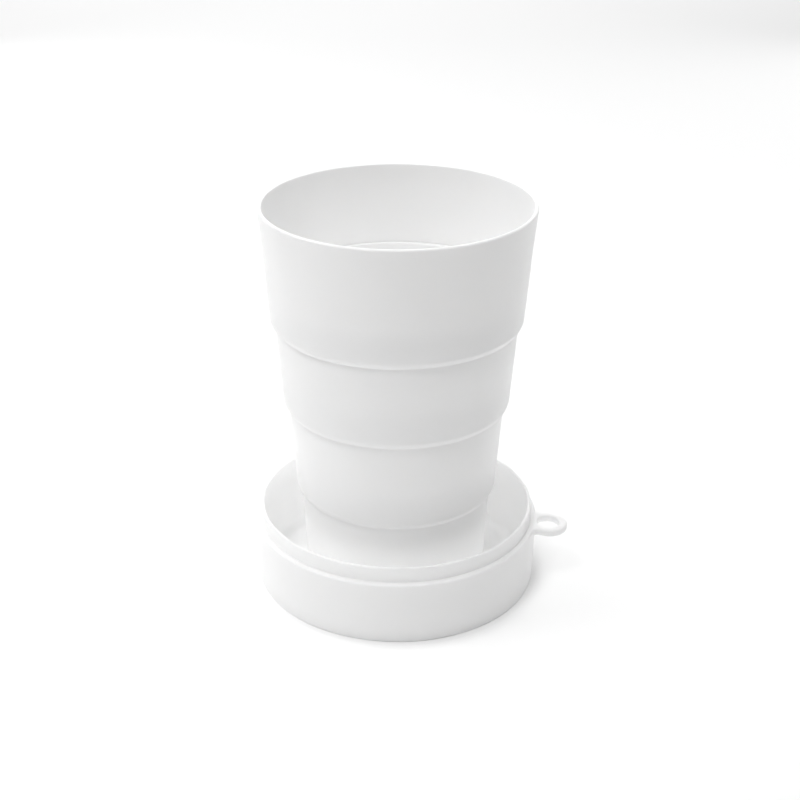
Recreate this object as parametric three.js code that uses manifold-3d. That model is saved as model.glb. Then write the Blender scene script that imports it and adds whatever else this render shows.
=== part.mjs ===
// A collapsible travel cup: tapered plastic rings that telescope out of a round dish base.
// Units are millimetres, +Z is up, and the origin is the centre of the base's flat underside.
import * as THREE from 'three';
import { mergeVertices } from 'three/addons/utils/BufferGeometryUtils.js';
import Module from 'manifold-3d';

const wasm = await Module();
wasm.setup();

// Driving dimensions: heights above the table
const RIM_Z = 105.5;
const UPPER_RING_Z = 74.4;
const MIDDLE_RING_Z = 51.5;
const LOWER_RING_Z = 26.7;
const LIP_Z = 21.7;
const LEDGE_Z = 17.55;
const OVERLAP = 9.7; // how far each ring's top stands inside the next one out

// Driving dimensions: the telescoping walls
const UPPER_RING_RADIUS = 32.6; // outside, at the ring's bottom edge
const TAPER = 0.0715; // radius gained per millimetre of height
const WALL = 0.95;
const GAP = 0.3; // running gap between neighbouring walls
const RIM_FLARE = 0.22; // extra radius at the drinking rim
const FLARE_Z = 95;

// Driving dimensions: the dish base
const LEDGE_RADIUS = 38.4;
const FOOT_RADIUS = 37.9;
const NECK_RADIUS = 36.85;
const NECK_WALL = 0.85;
const DISH_FLOOR_RADIUS = 34.9;
const DISH_FLOOR_Z = 1.3;
const SPIGOT_RADIUS = 22.9;
const SPIGOT_Z = 2.9;

// Driving dimensions: the bottom cup, which clips over the dish's spigot
const CUP_FOOT_RADIUS = 24.2;
const CUP_FLOOR = 1.2;

// Driving dimensions: the lid lugs on the neck and the eyelet on the ledge
const LUG_COUNT = 4;
const LUG_FIRST_ANGLE = -100; // degrees about +Z from +X
const LUG_LENGTH = 4.5;
const LUG_HEIGHT = 1.1;
const LUG_PROUD = 0.25;
const LUG_DROP = 0.6; // from the lip down to the lug's top
const EYELET_CENTRE = 41.8;
const EYELET_RADIUS = 5.1;
const EYELET_HOLE_RADIUS = 3;
const EYELET_THICKNESS = 1.8;
const EYELET_DROP = 0.1; // from the ledge down to the eyelet's top
const EYELET_FILLET = 1.6;

const SEGMENTS = 64;
const CORNER_STEPS = 2;

const toRadians = (degrees) => THREE.MathUtils.degToRad(degrees);

// Corners are [radius, height, rounding]. A rounding above zero becomes an arc.
function roundCorners(corners) {
  const points = [];
  corners.forEach(([x, y, rounding = 0], i) => {
    const corner = new THREE.Vector2(x, y);
    if (rounding === 0) {
      points.push(corner);
      return;
    }
    const [beforeX, beforeY] = corners.at(i - 1);
    const [afterX, afterY] = corners[(i + 1) % corners.length];
    const before = new THREE.Vector2(beforeX, beforeY).sub(corner).normalize();
    const after = new THREE.Vector2(afterX, afterY).sub(corner).normalize();
    const half = Math.acos(before.dot(after)) / 2;
    const towards = before.clone().add(after).normalize();
    const centre = corner.clone().addScaledVector(towards, rounding / Math.sin(half));
    const reach = rounding / Math.tan(half);
    const from = corner.clone().addScaledVector(before, reach).sub(centre).angle();
    const to = corner.clone().addScaledVector(after, reach).sub(centre).angle();
    const sweep = THREE.MathUtils.euclideanModulo(to - from + Math.PI, 2 * Math.PI) - Math.PI;
    for (let k = 0; k <= CORNER_STEPS; k += 1) {
      const angle = from + (sweep * k) / CORNER_STEPS;
      points.push(new THREE.Vector2(Math.cos(angle), Math.sin(angle)).multiplyScalar(rounding).add(centre));
    }
  });
  return points;
}

// Turns a profile about +Z. A hollow ring's profile closes on itself.
function revolve(points, closed) {
  const profile = closed ? [...points, points[0]] : points;
  return new THREE.LatheGeometry(profile, SEGMENTS).rotateX(Math.PI / 2);
}

function toSolid(geometry) {
  const bare = geometry.clone();
  bare.deleteAttribute('normal');
  bare.deleteAttribute('uv');
  const merged = mergeVertices(bare);
  const index = merged.index.array;
  const triangles = [];
  for (let i = 0; i < index.length; i += 3) {
    const [a, b, c] = index.slice(i, i + 3);
    if (a !== b && b !== c && c !== a) triangles.push(a, b, c);
  }
  return new wasm.Manifold(new wasm.Mesh({
    numProp: 3,
    vertProperties: new Float32Array(merged.attributes.position.array),
    triVerts: new Uint32Array(triangles),
  }));
}

function toGeometry(solid) {
  const mesh = solid.getMesh();
  const geometry = new THREE.BufferGeometry();
  geometry.setAttribute('position', new THREE.BufferAttribute(mesh.vertProperties, 3));
  geometry.setIndex(new THREE.BufferAttribute(mesh.triVerts, 1));
  geometry.computeVertexNormals();
  return geometry;
}

// A telescoping ring: an open tapered tube with a rounded edge at each end.
function ringGeometry(bottomRadius, bottomZ, topZ, flare = 0) {
  const outside = (z) => bottomRadius + (z - bottomZ) * TAPER;
  const outer = [[bottomRadius, bottomZ, 0.45]];
  const inner = [[bottomRadius - WALL, bottomZ, 0.2]];
  if (flare > 0) {
    outer.push([outside(FLARE_Z), FLARE_Z]);
    inner.push([outside(FLARE_Z) - WALL, FLARE_Z]);
  }
  outer.push([outside(topZ) + flare, topZ, 0.42]);
  inner.push([outside(topZ) + flare - WALL, topZ, 0.42]);
  return revolve(roundCorners([...outer, ...inner.reverse()]), true);
}

// The bottom cup: the smallest section, with the cup's floor and a foot that clips over the spigot.
function bottomCupGeometry(neckRadius) {
  const footZ = DISH_FLOOR_Z + GAP;
  const underside = SPIGOT_Z + GAP;
  const floorTop = underside + CUP_FLOOR;
  const topZ = LOWER_RING_Z + OVERLAP;
  const topRadius = neckRadius + OVERLAP * TAPER;
  const footInside = SPIGOT_RADIUS + GAP;
  return revolve(roundCorners([
    [0, underside],
    [footInside, underside],
    [footInside, footZ],
    [CUP_FOOT_RADIUS, footZ, 0.4],
    [neckRadius, LOWER_RING_Z],
    [topRadius, topZ, 0.42],
    [topRadius - WALL, topZ, 0.42],
    [neckRadius - WALL, LOWER_RING_Z],
    [CUP_FOOT_RADIUS - WALL, floorTop, 1.5],
    [0, floorTop],
  ]), false);
}

function dishGeometry() {
  return revolve(roundCorners([
    [0, 0],
    [FOOT_RADIUS, 0, 0.5],
    [LEDGE_RADIUS, LEDGE_Z, 0.5],
    [NECK_RADIUS, LEDGE_Z, 0.2],
    [NECK_RADIUS, LIP_Z, 0.4],
    [NECK_RADIUS - NECK_WALL, LIP_Z, 0.4],
    [DISH_FLOOR_RADIUS, DISH_FLOOR_Z, 1.2],
    [SPIGOT_RADIUS, DISH_FLOOR_Z],
    [SPIGOT_RADIUS, SPIGOT_Z, 0.3],
    [0, SPIGOT_Z],
  ]), false);
}

// One of the short raised bars that the lid clicks over, as a sector of a thin ring.
function lugGeometry(angle) {
  const half = LUG_LENGTH / 2 / NECK_RADIUS;
  const middle = toRadians(angle);
  const shape = new THREE.Shape();
  shape.absarc(0, 0, NECK_RADIUS + LUG_PROUD, middle - half, middle + half, false);
  shape.absarc(0, 0, NECK_RADIUS - NECK_WALL / 2, middle + half, middle - half, true);
  const lug = new THREE.ExtrudeGeometry(shape, { depth: LUG_HEIGHT, bevelEnabled: false, curveSegments: 4 });
  return lug.translate(0, 0, LIP_Z - LUG_DROP - LUG_HEIGHT);
}

// The eyelet plate: a round loop on +X, with a fillet into the dish's wall on both sides.
function eyeletGeometry() {
  const root = LEDGE_RADIUS - 0.1;
  const loopReach = EYELET_RADIUS + EYELET_FILLET;
  const wallReach = root + EYELET_FILLET;
  const filletX = (wallReach ** 2 - loopReach ** 2 + EYELET_CENTRE ** 2) / (2 * EYELET_CENTRE);
  const filletY = Math.sqrt(wallReach ** 2 - filletX ** 2);
  const wallAngle = Math.atan2(filletY, filletX);
  const loopAngle = Math.atan2(filletY, filletX - EYELET_CENTRE);
  const inside = root - 1;
  const shape = new THREE.Shape();
  shape.moveTo(inside * Math.cos(wallAngle), -inside * Math.sin(wallAngle));
  shape.absarc(filletX, -filletY, EYELET_FILLET, Math.PI - wallAngle, Math.PI - loopAngle, true);
  shape.absarc(EYELET_CENTRE, 0, EYELET_RADIUS, -loopAngle, loopAngle, false);
  shape.absarc(filletX, filletY, EYELET_FILLET, loopAngle - Math.PI, wallAngle - Math.PI, true);
  shape.lineTo(inside * Math.cos(wallAngle), inside * Math.sin(wallAngle));
  const hole = new THREE.Path();
  hole.absarc(EYELET_CENTRE, 0, EYELET_HOLE_RADIUS, 0, 2 * Math.PI, true);
  shape.holes.push(hole);
  const plate = new THREE.ExtrudeGeometry(shape, { depth: EYELET_THICKNESS, bevelEnabled: false, curveSegments: 24 });
  return plate.translate(0, 0, LEDGE_Z - EYELET_DROP - EYELET_THICKNESS);
}

function baseDishGeometry() {
  let dish = toSolid(dishGeometry()).add(toSolid(eyeletGeometry()));
  for (let i = 0; i < LUG_COUNT; i += 1) {
    dish = dish.add(toSolid(lugGeometry(LUG_FIRST_ANGLE + (i * 360) / LUG_COUNT)));
  }
  return toGeometry(dish);
}

const white = () => new THREE.MeshStandardMaterial({ color: 0xf3f3f1, roughness: 0.38, metalness: 0 });

const group = new THREE.Group();

function addPart(name, geometry) {
  const mesh = new THREE.Mesh(geometry, white());
  mesh.name = name;
  group.add(mesh);
}

// Each ring's wall stands one wall and one gap inside the ring above it, at that ring's bottom edge.
const step = WALL + GAP;
const middleRingRadius = UPPER_RING_RADIUS - step - (UPPER_RING_Z - MIDDLE_RING_Z) * TAPER;
const lowerRingRadius = middleRingRadius - step - (MIDDLE_RING_Z - LOWER_RING_Z) * TAPER;

addPart('base_dish', baseDishGeometry());
addPart('bottom_cup', bottomCupGeometry(lowerRingRadius - step));
addPart('lower_ring', ringGeometry(lowerRingRadius, LOWER_RING_Z, MIDDLE_RING_Z + OVERLAP));
addPart('middle_ring', ringGeometry(middleRingRadius, MIDDLE_RING_Z, UPPER_RING_Z + OVERLAP));
addPart('upper_ring', ringGeometry(UPPER_RING_RADIUS, UPPER_RING_Z, RIM_Z, RIM_FLARE));

export default group;
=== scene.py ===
"""Looks for the collapsible travel cup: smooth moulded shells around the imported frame, in metres, +Z up."""

import math

import bmesh
import bpy
from mathutils import Matrix, Vector


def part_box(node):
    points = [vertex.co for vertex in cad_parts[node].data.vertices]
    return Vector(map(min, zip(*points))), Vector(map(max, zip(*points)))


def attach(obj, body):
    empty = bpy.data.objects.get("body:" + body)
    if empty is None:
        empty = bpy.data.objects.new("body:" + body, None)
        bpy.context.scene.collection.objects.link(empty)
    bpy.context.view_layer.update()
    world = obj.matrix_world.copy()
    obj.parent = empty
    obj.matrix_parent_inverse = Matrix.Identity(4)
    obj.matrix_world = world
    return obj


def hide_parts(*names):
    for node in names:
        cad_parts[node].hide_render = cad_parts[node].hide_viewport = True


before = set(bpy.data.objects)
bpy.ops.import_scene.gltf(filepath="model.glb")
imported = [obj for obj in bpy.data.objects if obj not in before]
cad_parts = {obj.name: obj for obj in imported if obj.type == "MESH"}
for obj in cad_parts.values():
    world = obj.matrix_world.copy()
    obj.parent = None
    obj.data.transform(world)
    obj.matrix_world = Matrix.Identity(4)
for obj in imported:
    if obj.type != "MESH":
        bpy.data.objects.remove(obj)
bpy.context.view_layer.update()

MM = 0.001

# ---------------------------------------------------------------- sizes read from the frame
DISH_LOW, DISH_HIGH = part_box("base_dish")
CUP_LOW, CUP_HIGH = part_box("bottom_cup")
LEDGE_RADIUS = -DISH_LOW.x
LIP_Z = DISH_HIGH.z
EYELET_TIP = DISH_HIGH.x

# Details of the mouldings that the boxes don't give, and the fineness of their meshes
TAPER = 0.0715
WALL = 0.95 * MM
GAP = 0.3 * MM
RIM_FLARE = 0.22 * MM
FLARE_DEPTH = 10.5 * MM
TUCK = 0.55 * MM
TUCK_HEIGHT = 1.3 * MM
FOOT_INSET = 0.5 * MM
FOOT_SLOPE_DROP = 4.5 * MM
NECK_INSET = 1.55 * MM
NECK_WALL = 0.85 * MM
NECK_HEIGHT = 4.15 * MM
DISH_FLOOR_RADIUS = 34.9 * MM
DISH_FLOOR_Z = 1.3 * MM
SPIGOT_RADIUS = 22.9 * MM
SPIGOT_Z = 2.9 * MM
CUP_FOOT_RADIUS = 24.2 * MM
CUP_FLOOR = 1.2 * MM
GATE_RADIUS = 1.6 * MM
GATE_DEPTH = 0.3 * MM
LUG_COUNT = 4
LUG_FIRST_ANGLE = math.radians(-100)
LUG_LENGTH = 5.0 * MM
LUG_HEIGHT = 1.2 * MM
LUG_PROUD = 0.18 * MM
LUG_DROP = 0.5 * MM
EYELET_RADIUS = 5.1 * MM
EYELET_HOLE_RADIUS = 2.87 * MM
EYELET_THICKNESS = 1.8 * MM
EYELET_DROP = 0.1 * MM
EYELET_FILLET = 1.6 * MM
EYELET_ROUNDING = 0.5 * MM
EYELET_SINK = 0.1 * MM
EYELET_BURY = 1.0 * MM

AIM_HEIGHT = 50 * MM
RING_SEGMENTS = 288
DISH_SEGMENTS = 720
LUG_ROWS = 12
EYELET_STEPS = 5
FILLET_STEPS = 10
LOOP_STEPS = 60
HOLE_STEPS = 64
CORNER_STEPS = 8
HOLD = 0.02 * MM
ON_AXIS = 1e-9
SHARP_ANGLE = math.radians(35)
BEVEL_ABOVE_ANGLE = 1

# Finish of the plastic
TONE_SPREAD = 0.01
GLOSS_ROUGHNESS = (0.29, 0.4)
RING_DEPTH = 0.55 * MM
CUP_DEPTH = 0.9 * MM
DISH_DEPTH = 1.3 * MM
# The cup and dish are made whiter than the rings as painted light, which lightens the cup and the moat of the
# dish.
BASE_WHITENESS_PAINTED_LIGHT = 0.988

# Stage
FLOOR_REACH = 6
FLOOR_TONE = 0.97
CONTACT_WIDTH = 4 * MM
GLOW_RADIUS = 70 * MM
GLOW_END_RADIUS = 150 * MM
GLOW_STRENGTH = 0.14
WORLD_STRENGTH = 0.13


# ---------------------------------------------------------------- camera
CAMERA_BEARING = math.radians(7.96)


def make_camera():
    data = bpy.data.cameras.new("view_camera")
    camera = bpy.data.objects.new("view_camera", data)
    bpy.context.scene.collection.objects.link(camera)
    reach, height = 0.3382, 0.2145
    camera.location = (reach * math.sin(CAMERA_BEARING), -reach * math.cos(CAMERA_BEARING), height)
    pan, pitch, roll = math.radians(-10.49), math.radians(25.8), math.radians(-0.71)
    look = Vector((math.sin(pan) * math.cos(pitch), math.cos(pan) * math.cos(pitch), -math.sin(pitch)))
    upright = look.to_track_quat("-Z", "Y")
    camera.rotation_mode = "QUATERNION"
    camera.rotation_quaternion = upright @ Matrix.Rotation(roll, 3, "Z").to_quaternion()
    data.sensor_width = 36
    data.lens = 63.59
    data.shift_x = 0.075
    data.clip_start = 0.01
    bpy.context.scene.camera = camera


make_camera()


# ---------------------------------------------------------------- profiles and solids
def round_corners(corners):
    """Points of a profile. A corner is (radius, height, rounding), and a rounding becomes an arc."""
    points = []
    for i, (x, y, rounding) in enumerate(corners):
        corner = Vector((x, y))
        if rounding == 0:
            points.append(corner)
            continue
        before = (Vector(corners[i - 1][:2]) - corner).normalized()
        after = (Vector(corners[(i + 1) % len(corners)][:2]) - corner).normalized()
        half = before.angle(after) / 2
        centre = corner + (before + after).normalized() * (rounding / math.sin(half))
        reach = rounding / math.tan(half)
        start, end = corner + before * reach, corner + after * reach
        from_angle = math.atan2(start.y - centre.y, start.x - centre.x)
        to_angle = math.atan2(end.y - centre.y, end.x - centre.x)
        sweep = (to_angle - from_angle + math.pi) % (2 * math.pi) - math.pi
        points.append(start + before * HOLD)
        for k in range(CORNER_STEPS + 1):
            angle = from_angle + sweep * k / CORNER_STEPS
            points.append(centre + rounding * Vector((math.cos(angle), math.sin(angle))))
        points.append(end + after * HOLD)
    return points


def add_object(name, mesh):
    piece = bpy.data.objects.new(name, mesh)
    bpy.context.scene.collection.objects.link(piece)
    return piece


def shade_smooth(mesh):
    mesh.polygons.foreach_set("use_smooth", [True] * len(mesh.polygons))


def revolve(name, points, segments, closed):
    """A closed body turned about +Z. An open profile starts and ends on the axis."""
    verts, rows = [], []
    for x, y in points:
        if x < ON_AXIS:
            rows.append([len(verts)] * segments)
            verts.append((0, 0, y))
            continue
        rows.append(list(range(len(verts), len(verts) + segments)))
        for k in range(segments):
            angle = 2 * math.pi * k / segments
            verts.append((x * math.cos(angle), x * math.sin(angle), y))
    pairs = list(zip(rows, rows[1:] + rows[:1])) if closed else list(zip(rows, rows[1:]))
    faces = []
    for low, high in pairs:
        for k in range(segments):
            n = (k + 1) % segments
            corners = [low[k], low[n], high[n], high[k]]
            faces.append(list(dict.fromkeys(corners)))
    mesh = bpy.data.meshes.new(name)
    mesh.from_pydata(verts, [], faces)
    mesh.update()
    shade_smooth(mesh)
    return add_object(name, mesh)


# ---------------------------------------------------------------- materials
def noise(tree, place, scale, detail, roughness=0.5):
    node = tree.nodes.new("ShaderNodeTexNoise")
    node.inputs["Scale"].default_value = scale
    node.inputs["Detail"].default_value = detail
    node.inputs["Roughness"].default_value = roughness
    tree.links.new(place, node.inputs["Vector"])
    return node.outputs["Fac"]


def bump(tree, height, strength, distance):
    node = tree.nodes.new("ShaderNodeBump")
    node.inputs["Strength"].default_value = strength
    node.inputs["Distance"].default_value = distance
    tree.links.new(height, node.inputs["Height"])
    return node


def varied_tone(tree, place, whiteness):
    """A white that drifts a little across the surface."""
    darkest, lightest = whiteness - TONE_SPREAD, whiteness + TONE_SPREAD
    tone = tree.nodes.new("ShaderNodeMix")
    tone.data_type = "RGBA"
    tone.inputs["A"].default_value = (darkest, darkest, darkest, 1)
    tone.inputs["B"].default_value = (lightest, lightest, lightest - 0.001, 1)
    tree.links.new(noise(tree, place, scale=38, detail=3), tone.inputs["Factor"])
    return tone.outputs["Result"]


def varied_gloss(tree, place):
    """A satin roughness that wanders."""
    gloss = tree.nodes.new("ShaderNodeMapRange")
    gloss.inputs["To Min"].default_value = GLOSS_ROUGHNESS[0]
    gloss.inputs["To Max"].default_value = GLOSS_ROUGHNESS[1]
    tree.links.new(noise(tree, place, scale=90, detail=5, roughness=0.6), gloss.inputs["Value"])
    return gloss.outputs["Result"]


def moulded_surface(tree, place):
    """The faint waves of a moulded wall with a fine grain over them."""
    waves = bump(tree, noise(tree, place, scale=55, detail=2), strength=0.25, distance=0.25 * MM)
    grain = bump(tree, noise(tree, place, scale=2600, detail=2), strength=0.12, distance=0.02 * MM)
    tree.links.new(waves.outputs["Normal"], grain.inputs["Normal"])
    return grain.outputs["Normal"]


def satin_plastic(name, seed, whiteness, depth):
    """White polypropylene: a satin gloss and a soft translucency of the given depth."""
    material = bpy.data.materials.new(name)
    material.use_nodes = True
    tree = material.node_tree
    shader = tree.nodes["Principled BSDF"]
    coordinates = tree.nodes.new("ShaderNodeTexCoord")
    shifted = tree.nodes.new("ShaderNodeMapping")
    shifted.inputs["Location"].default_value = (seed, seed * 1.7, seed * 2.3)
    tree.links.new(coordinates.outputs["Object"], shifted.inputs["Vector"])
    place = shifted.outputs["Vector"]
    tree.links.new(varied_tone(tree, place, whiteness), shader.inputs["Base Color"])
    tree.links.new(varied_gloss(tree, place), shader.inputs["Roughness"])
    tree.links.new(moulded_surface(tree, place), shader.inputs["Normal"])
    shader.inputs["IOR"].default_value = 1.49
    shader.inputs["Subsurface Weight"].default_value = 1
    shader.inputs["Subsurface Radius"].default_value = (1.0, 0.99, 0.98)
    shader.inputs["Subsurface Scale"].default_value = depth
    return material


def finish_piece(piece, node, body, material):
    piece.data.materials.clear()
    piece.data.materials.append(material)
    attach(piece, body)
    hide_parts(node)


# ---------------------------------------------------------------- telescoping rings
def make_ring(node, flare, material):
    """An open tapered tube with rounded edges, the drinking rim flared."""
    low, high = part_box(node)
    top_radius = high.x
    bottom_radius = top_radius - flare - (high.z - low.z) * TAPER
    outer = [(bottom_radius - TUCK, low.z, 0.2 * MM),
             (bottom_radius + TUCK_HEIGHT * TAPER, low.z + TUCK_HEIGHT, 2 * MM)]
    inner = [(bottom_radius - WALL, low.z, 0.14 * MM)]
    if flare:
        flare_z = high.z - FLARE_DEPTH
        flare_radius = bottom_radius + (flare_z - low.z) * TAPER
        outer.append((flare_radius, flare_z, 60 * MM))
        inner.append((flare_radius - WALL, flare_z, 60 * MM))
    outer.append((top_radius, high.z, 0.55 * MM if flare else 0.3 * MM))
    inner.append((top_radius - WALL, high.z, 0.3 * MM if flare else 0.5 * MM))
    piece = revolve(node + "_shell", round_corners(outer + inner[::-1]), RING_SEGMENTS, True)
    finish_piece(piece, node, node, material)


def make_bottom_cup(neck_radius, material):
    top_radius = CUP_HIGH.x
    foot_z = CUP_LOW.z
    underside = SPIGOT_Z + GAP
    floor_top = underside + CUP_FLOOR
    neck_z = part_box("lower_ring")[0].z
    foot_inside = SPIGOT_RADIUS + GAP
    points = round_corners([
        (0, underside, 0),
        (foot_inside, underside, 0.1 * MM),
        (foot_inside, foot_z, 0.1 * MM),
        (CUP_FOOT_RADIUS, foot_z, 0.4 * MM),
        (neck_radius, neck_z, 30 * MM),
        (top_radius, CUP_HIGH.z, 0.42 * MM),
        (top_radius - WALL, CUP_HIGH.z, 0.42 * MM),
        (neck_radius - WALL, neck_z, 30 * MM),
        (CUP_FOOT_RADIUS - WALL, floor_top, 1.5 * MM),
        (GATE_RADIUS, floor_top, 0.08 * MM),
        (GATE_RADIUS, floor_top - GATE_DEPTH, 0.08 * MM),
        (0, floor_top - GATE_DEPTH, 0),
    ])
    piece = revolve("bottom_cup_shell", points, RING_SEGMENTS, False)
    finish_piece(piece, "bottom_cup", "base", material)


# ---------------------------------------------------------------- dish base
def dish_profile():
    """The dish's section, with extra points where the lugs stand."""
    ledge_z = LIP_Z - NECK_HEIGHT
    neck_radius = LEDGE_RADIUS - NECK_INSET
    lug_rows = [(neck_radius, lug_height(k / LUG_ROWS), 0) for k in range(LUG_ROWS + 1)]
    return round_corners([
        (0, GATE_DEPTH, 0),
        (GATE_RADIUS, GATE_DEPTH, 0.08 * MM),
        (GATE_RADIUS, 0, 0.08 * MM),
        (LEDGE_RADIUS - FOOT_INSET, 0, 0.5 * MM),
        (LEDGE_RADIUS - FOOT_INSET / 4, ledge_z - FOOT_SLOPE_DROP, 0),
        (LEDGE_RADIUS, ledge_z, 0.5 * MM),
        (neck_radius, ledge_z, 0.25 * MM),
        *lug_rows,
        (neck_radius, LIP_Z, 0.42 * MM),
        (neck_radius - NECK_WALL, LIP_Z, 0.36 * MM),
        (DISH_FLOOR_RADIUS, DISH_FLOOR_Z, 3 * MM),
        (SPIGOT_RADIUS, DISH_FLOOR_Z, 0.15 * MM),
        (SPIGOT_RADIUS, SPIGOT_Z, 0.3 * MM),
        (0, SPIGOT_Z, 0),
    ])


def arc(centre, radius, start, end, steps):
    angles = [start + (end - start) * k / steps for k in range(steps + 1)]
    return [Vector((centre[0] + radius * math.cos(a), centre[1] + radius * math.sin(a))) for a in angles]


def eyelet_outline():
    """Outer outline of the eyelet in plan: a round loop with a fillet into the wall on both sides."""
    centre_x = EYELET_TIP - EYELET_RADIUS
    root = LEDGE_RADIUS - EYELET_SINK
    loop_reach = EYELET_RADIUS + EYELET_FILLET
    wall_reach = root + EYELET_FILLET
    fillet_x = (wall_reach**2 - loop_reach**2 + centre_x**2) / (2 * centre_x)
    fillet_y = math.sqrt(wall_reach**2 - fillet_x**2)
    wall_angle = math.atan2(fillet_y, fillet_x)
    loop_angle = math.atan2(fillet_y, fillet_x - centre_x)
    inside = root - EYELET_BURY
    points = [Vector((inside * math.cos(wall_angle), -inside * math.sin(wall_angle)))]
    points += arc((fillet_x, -fillet_y), EYELET_FILLET, math.pi - wall_angle, math.pi - loop_angle,
                  FILLET_STEPS)
    points += arc((centre_x, 0), EYELET_RADIUS, -loop_angle, loop_angle, LOOP_STEPS)[1:-1]
    points += arc((fillet_x, fillet_y), EYELET_FILLET, loop_angle - math.pi, wall_angle - math.pi,
                  FILLET_STEPS)
    points.append(Vector((inside * math.cos(wall_angle), inside * math.sin(wall_angle))))
    return points


def rounded_plate(name, outline, hole, low, high, rounding, sharp_within):
    """A closed plate with a hole between two heights. Its edges are rounded outside a radius about +Z."""
    bm = bmesh.new()
    edges = []
    for loop in (outline, hole):
        verts = [bm.verts.new((p.x, p.y, low)) for p in loop]
        edges += [bm.edges.new((a, b)) for a, b in zip(verts, verts[1:] + verts[:1])]
    bmesh.ops.triangle_fill(bm, edges=edges, use_beauty=True)
    raised = bmesh.ops.extrude_face_region(bm, geom=bm.faces[:])
    bmesh.ops.translate(bm, verts=[v for v in raised["geom"] if isinstance(v, bmesh.types.BMVert)],
                        vec=(0, 0, high - low))
    bmesh.ops.recalc_face_normals(bm, faces=bm.faces[:])
    rims = [e for e in bm.edges if e.calc_face_angle(0) > BEVEL_ABOVE_ANGLE
            and e.verts[0].co.z == e.verts[1].co.z and min(v.co.xy.length for v in e.verts) > sharp_within]
    bmesh.ops.bevel(bm, geom=rims, offset=rounding, segments=EYELET_STEPS, profile=0.5, affect="EDGES")
    mesh = bpy.data.meshes.new(name)
    bm.to_mesh(mesh)
    bm.free()
    return add_object(name, mesh)


def lug_height(share):
    """A height across the lugs, from their foot at 0 to their top at 1."""
    return LIP_Z - LUG_DROP - LUG_HEIGHT * (1 - share)


def raise_lugs(dish):
    """Swells the neck into short low beads, which fade out at their ends."""
    neck_radius = LEDGE_RADIUS - NECK_INSET
    half_turn = LUG_LENGTH / 2 / neck_radius
    pitch = 2 * math.pi / LUG_COUNT
    for vertex in dish.data.vertices:
        x, y, z = vertex.co
        radius = math.hypot(x, y)
        share = (z - lug_height(0)) / LUG_HEIGHT
        off = (math.atan2(y, x) - LUG_FIRST_ANGLE + pitch / 2) % pitch - pitch / 2
        if radius < neck_radius - NECK_WALL / 2 or not 0 < share < 1 or abs(off) > half_turn:
            continue
        swell = LUG_PROUD * math.sin(math.pi * share) * math.cos(math.pi / 2 * off / half_turn)
        vertex.co *= 1 + swell / radius
        vertex.co.z = z


def join_solid(target, tool):
    """Joins a closed tool into the target as one closed body, and deletes the tool."""
    union = target.modifiers.new("union", "BOOLEAN")
    union.operation = "UNION"
    union.solver = "EXACT"
    union.object = tool
    bpy.context.view_layer.update()
    depsgraph = bpy.context.evaluated_depsgraph_get()
    joined = bpy.data.meshes.new_from_object(target.evaluated_get(depsgraph))
    target.modifiers.clear()
    target.data = joined
    bpy.data.objects.remove(tool)


def make_dish(material):
    dish = revolve("base_dish_shell", dish_profile(), DISH_SEGMENTS, False)
    raise_lugs(dish)
    top = LIP_Z - NECK_HEIGHT - EYELET_DROP
    centre = (EYELET_TIP - EYELET_RADIUS, 0)
    hole = arc(centre, EYELET_HOLE_RADIUS, 0, -2 * math.pi, HOLE_STEPS)[:-1]
    eyelet = rounded_plate("eyelet", eyelet_outline(), hole, top - EYELET_THICKNESS, top, EYELET_ROUNDING,
                           LEDGE_RADIUS - 2 * EYELET_SINK)
    join_solid(dish, eyelet)
    shade_smooth(dish.data)
    dish.data.set_sharp_from_angle(angle=SHARP_ANGLE)
    finish_piece(dish, "base_dish", "base", material)


# ---------------------------------------------------------------- stage
def ramp(tree, value, near, far, near_value, far_value):
    """A smooth step from one value at near to another at far."""
    node = tree.nodes.new("ShaderNodeMapRange")
    node.interpolation_type = "SMOOTHSTEP"
    node.inputs["From Min"].default_value = near
    node.inputs["From Max"].default_value = far
    node.inputs["To Min"].default_value = near_value
    node.inputs["To Max"].default_value = far_value
    tree.links.new(value, node.inputs["Value"])
    return node.outputs["Result"]


def floor_glow(tree):
    """A faint emission round the foot, which starts just outside it and fades away."""
    position = tree.nodes.new("ShaderNodeNewGeometry")
    distance = tree.nodes.new("ShaderNodeVectorMath")
    distance.operation = "LENGTH"
    tree.links.new(position.outputs["Position"], distance.inputs[0])
    radius = distance.outputs["Value"]
    glow = tree.nodes.new("ShaderNodeMath")
    glow.operation = "MULTIPLY"
    tree.links.new(ramp(tree, radius, LEDGE_RADIUS, LEDGE_RADIUS + CONTACT_WIDTH, 0, 1), glow.inputs[0])
    tree.links.new(ramp(tree, radius, GLOW_RADIUS, GLOW_END_RADIUS, GLOW_STRENGTH, 0), glow.inputs[1])
    return glow.outputs[0]


def make_floor():
    """A pale floor. Its glow keeps the cast shadow narrow and light."""
    corners = [(x * FLOOR_REACH, y * FLOOR_REACH, 0) for x, y in ((-1, -1), (1, -1), (1, 1), (-1, 1))]
    mesh = bpy.data.meshes.new("floor")
    mesh.from_pydata(corners, [], [(0, 1, 2, 3)])
    floor = add_object("floor", mesh)
    material = bpy.data.materials.new("pale_floor")
    material.use_nodes = True
    tree = material.node_tree
    shader = tree.nodes["Principled BSDF"]
    shader.inputs["Base Color"].default_value = (FLOOR_TONE, FLOOR_TONE, FLOOR_TONE, 1)
    shader.inputs["Roughness"].default_value = 0.9
    shader.inputs["Specular IOR Level"].default_value = 0.1
    shader.inputs["Emission Color"].default_value = (1, 1, 1, 1)
    tree.links.new(floor_glow(tree), shader.inputs["Emission Strength"])
    mesh.materials.append(material)


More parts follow.
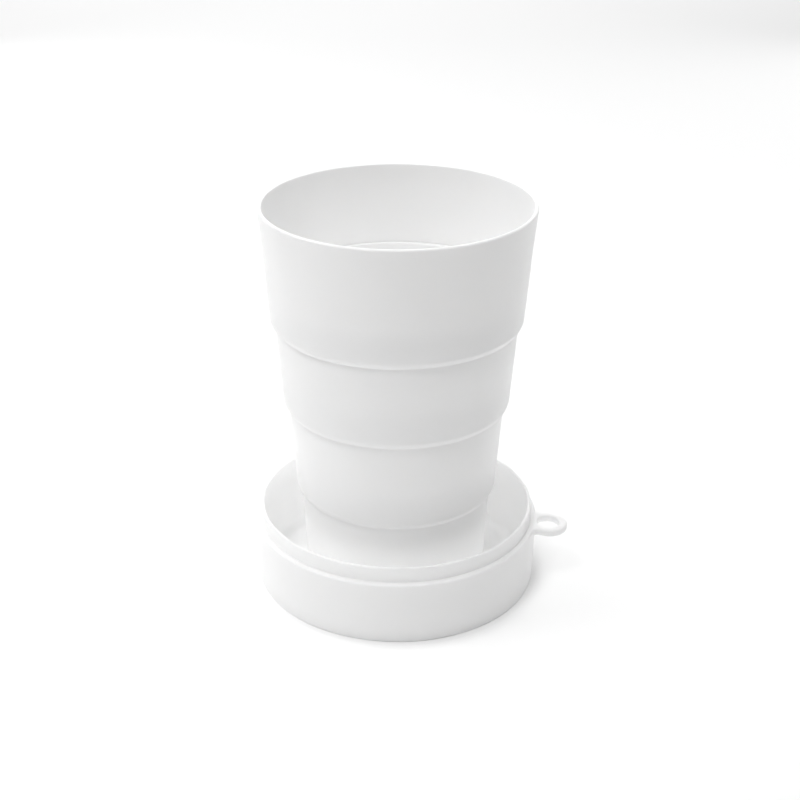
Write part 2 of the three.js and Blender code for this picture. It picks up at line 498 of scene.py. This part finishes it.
def softbox(name, bearing, distance, height, size, power):
    """A square soft light aimed at the cup.

    The bearing is in degrees from the camera's side, clockwise seen from above.
    """
    data = bpy.data.lights.new(name, "AREA")
    data.size = size
    data.energy = power
    light = bpy.data.objects.new(name, data)
    bpy.context.scene.collection.objects.link(light)
    turn = CAMERA_BEARING - math.radians(bearing)
    light.location = (distance * math.sin(turn), -distance * math.cos(turn), height)
    aim = Vector((0, 0, AIM_HEIGHT)) - light.location
    light.rotation_mode = "QUATERNION"
    light.rotation_quaternion = aim.to_track_quat("-Z", "Y")
    light.visible_camera = False


def make_lights():
    world = bpy.data.worlds.new("studio")
    world.use_nodes = True
    world.node_tree.nodes["Background"].inputs["Color"].default_value = (1, 1, 1, 1)
    world.node_tree.nodes["Background"].inputs["Strength"].default_value = WORLD_STRENGTH
    bpy.context.scene.world = world
    # name, bearing, distance, height, size, power
    softbox("high_left", 75, 0.6, 1.0, 0.35, 1.0)
    softbox("high_front_left", 30, 0.6, 1.0, 0.35, 3.4)
    softbox("high_front", 0, 0.6, 1.0, 0.35, 0.4)
    softbox("key_left", 110, 0.7, 1.0, 0.9, 5.6)
    softbox("top_right", 270, 0.3, 0.55, 0.4, 0.9)
    softbox("low_left", 45, 0.3, 0.06, 0.22, 0.05)
    softbox("back_left", 135, 0.65, 0.25, 0.5, 0.6)
    softbox("back_right", 225, 0.65, 0.25, 0.5, 0.45)
    softbox("backdrop_glow", 180, 1.2, 0.45, 1.4, 9.0)


# ---------------------------------------------------------------- the object and its stage
# Each ring's node, rim flare and whiteness. The whiteness is painted shade: it steps down from the lower ring
# to the upper ring, which gets less light.
RINGS = (("lower_ring", 0, 0.976), ("middle_ring", 0, 0.958), ("upper_ring", RIM_FLARE, 0.92))
for seed, (ring, rim_flare, whiteness) in enumerate(RINGS, start=3):
    make_ring(ring, rim_flare, satin_plastic(ring + "_polypropylene", seed, whiteness, RING_DEPTH))
cup_neck_radius = CUP_HIGH.x - (CUP_HIGH.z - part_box("lower_ring")[0].z) * TAPER
# The cup and dish share the lifted white, painted light over the base.
cup_plastic = satin_plastic("bottom_cup_polypropylene", seed=6, whiteness=BASE_WHITENESS_PAINTED_LIGHT, depth=CUP_DEPTH)
make_bottom_cup(cup_neck_radius, cup_plastic)
make_dish(satin_plastic("base_dish_polypropylene", seed=7, whiteness=BASE_WHITENESS_PAINTED_LIGHT, depth=DISH_DEPTH))
make_floor()
make_lights()
bpy.context.scene.view_settings.view_transform = "Standard"
bpy.context.scene.cycles.diffuse_bounces = 24
bpy.context.scene.cycles.max_bounces = 32
